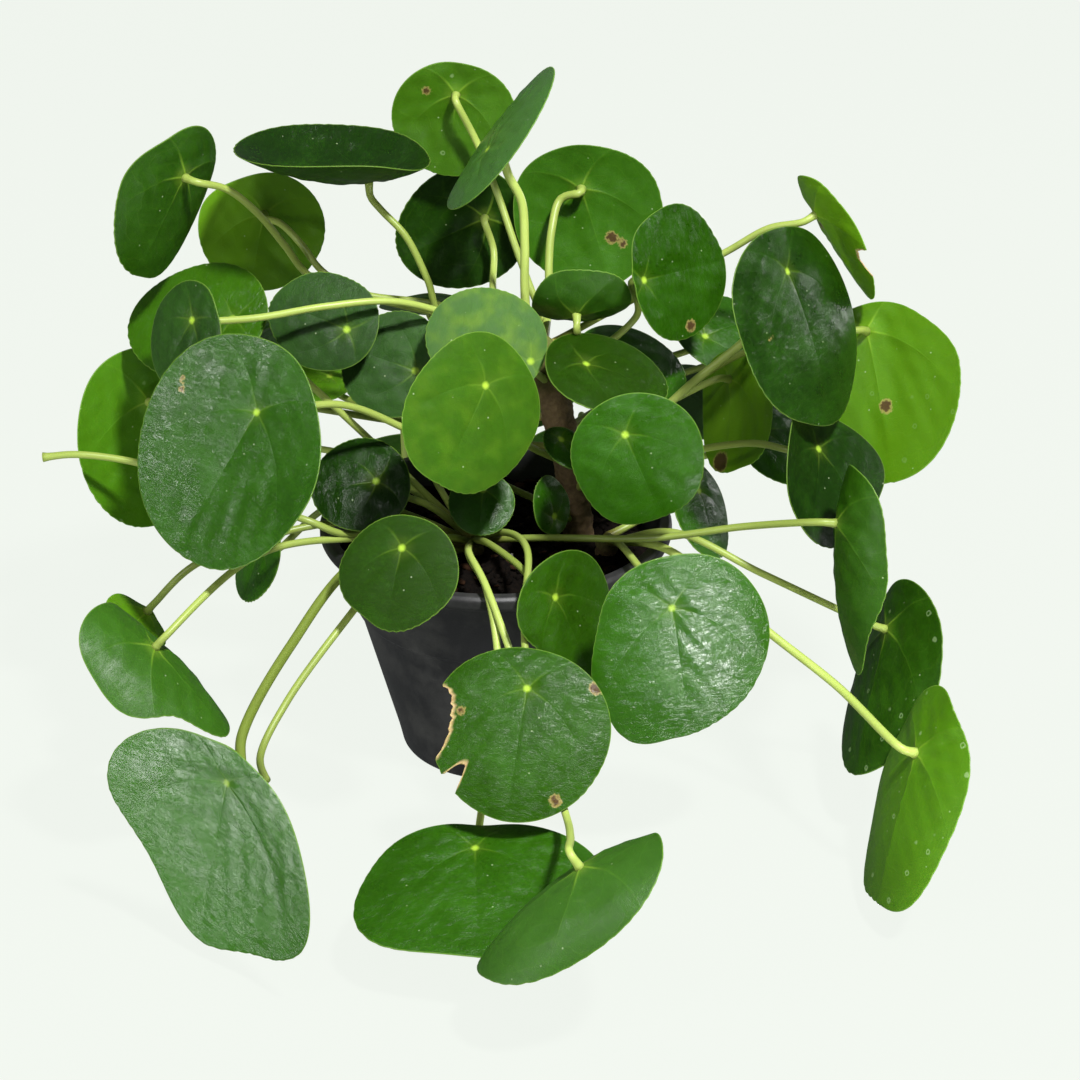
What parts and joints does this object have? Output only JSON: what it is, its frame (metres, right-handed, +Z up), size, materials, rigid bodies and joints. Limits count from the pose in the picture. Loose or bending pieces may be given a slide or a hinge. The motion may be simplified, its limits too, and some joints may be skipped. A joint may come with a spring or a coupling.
{
  "type": "potted pilea plant",
  "caption": "Pilea house plant with round leaves on long thin stalks, growing in soil in a round black plastic nursery pot that stands on its flat foot.",
  "frame": {"origin": "middle of the pot's flat foot, on the surface that it stands on", "axes": "+Z up along the pot's axis, -Y towards the front of the plant, +X to the right seen from the front"},
  "size_m": [0.3038, 0.3157, 0.2402],
  "materials": {
    "pot": "thin black moulded polypropylene, satin, lightly dusty",
    "soil": "dark moist peat potting soil with crumbs, bark and root bits",
    "stem": "fresh yellow-green stalks, satin, with brown corky scars on the main stem",
    "leaf": "fleshy smooth leaf, glossy dark green above, paler and matt below, with a pale navel"
  },
  "bodies": {
    "root": {"leaf_back_bright": "leaf", "leaf_back_grey": "leaf", "leaf_back_left": "leaf", "leaf_back_left_far": "leaf", "leaf_back_low_left": "leaf", "leaf_back_low_right": "leaf", "leaf_back_mid": "leaf", "leaf_back_right": "leaf", "leaf_back_right_dark": "leaf", "leaf_back_right_low": "leaf", "leaf_back_side_left": "leaf", "leaf_back_side_right": "leaf", "leaf_back_top": "leaf", "leaf_bottom_left": "leaf", "leaf_bottom_right": "leaf", "leaf_centre_front": "leaf", "leaf_centre_left": "leaf", "leaf_cup": "leaf", "leaf_front_dark": "leaf", "leaf_front_eaten": "leaf", "leaf_front_left": "leaf", "leaf_front_right": "leaf", "leaf_inner_centre": "leaf", "leaf_inner_left": "leaf", "leaf_inner_oval": "leaf", "leaf_inner_small": "leaf", "leaf_left_big": "leaf", "leaf_left_centre": "leaf", "leaf_left_dark": "leaf", "leaf_left_far": "leaf", "leaf_left_low": "leaf", "leaf_left_small": "leaf", "leaf_left_top": "leaf", "leaf_left_top_behind": "leaf", "leaf_low_left": "leaf", "leaf_low_left_fold": "leaf", "leaf_low_left_small": "leaf", "leaf_olive": "leaf", "leaf_olive_back": "leaf", "leaf_pale": "leaf", "leaf_right_behind": "leaf", "leaf_right_big": "leaf", "leaf_right_far": "leaf", "leaf_right_front": "leaf", "leaf_right_hanging": "leaf", "leaf_right_low": "leaf", "leaf_right_lowest": "leaf", "leaf_right_mid": "leaf", "leaf_right_narrow": "leaf", "leaf_right_top": "leaf", "leaf_right_upper": "leaf", "leaf_top_back": "leaf", "leaf_top_edge": "leaf", "leaf_upper_left": "leaf", "pot": "pot", "soil": "soil", "stem_left": "stem", "stem_main": "stem", "stem_right": "stem"}
  },
  "joints": []
}
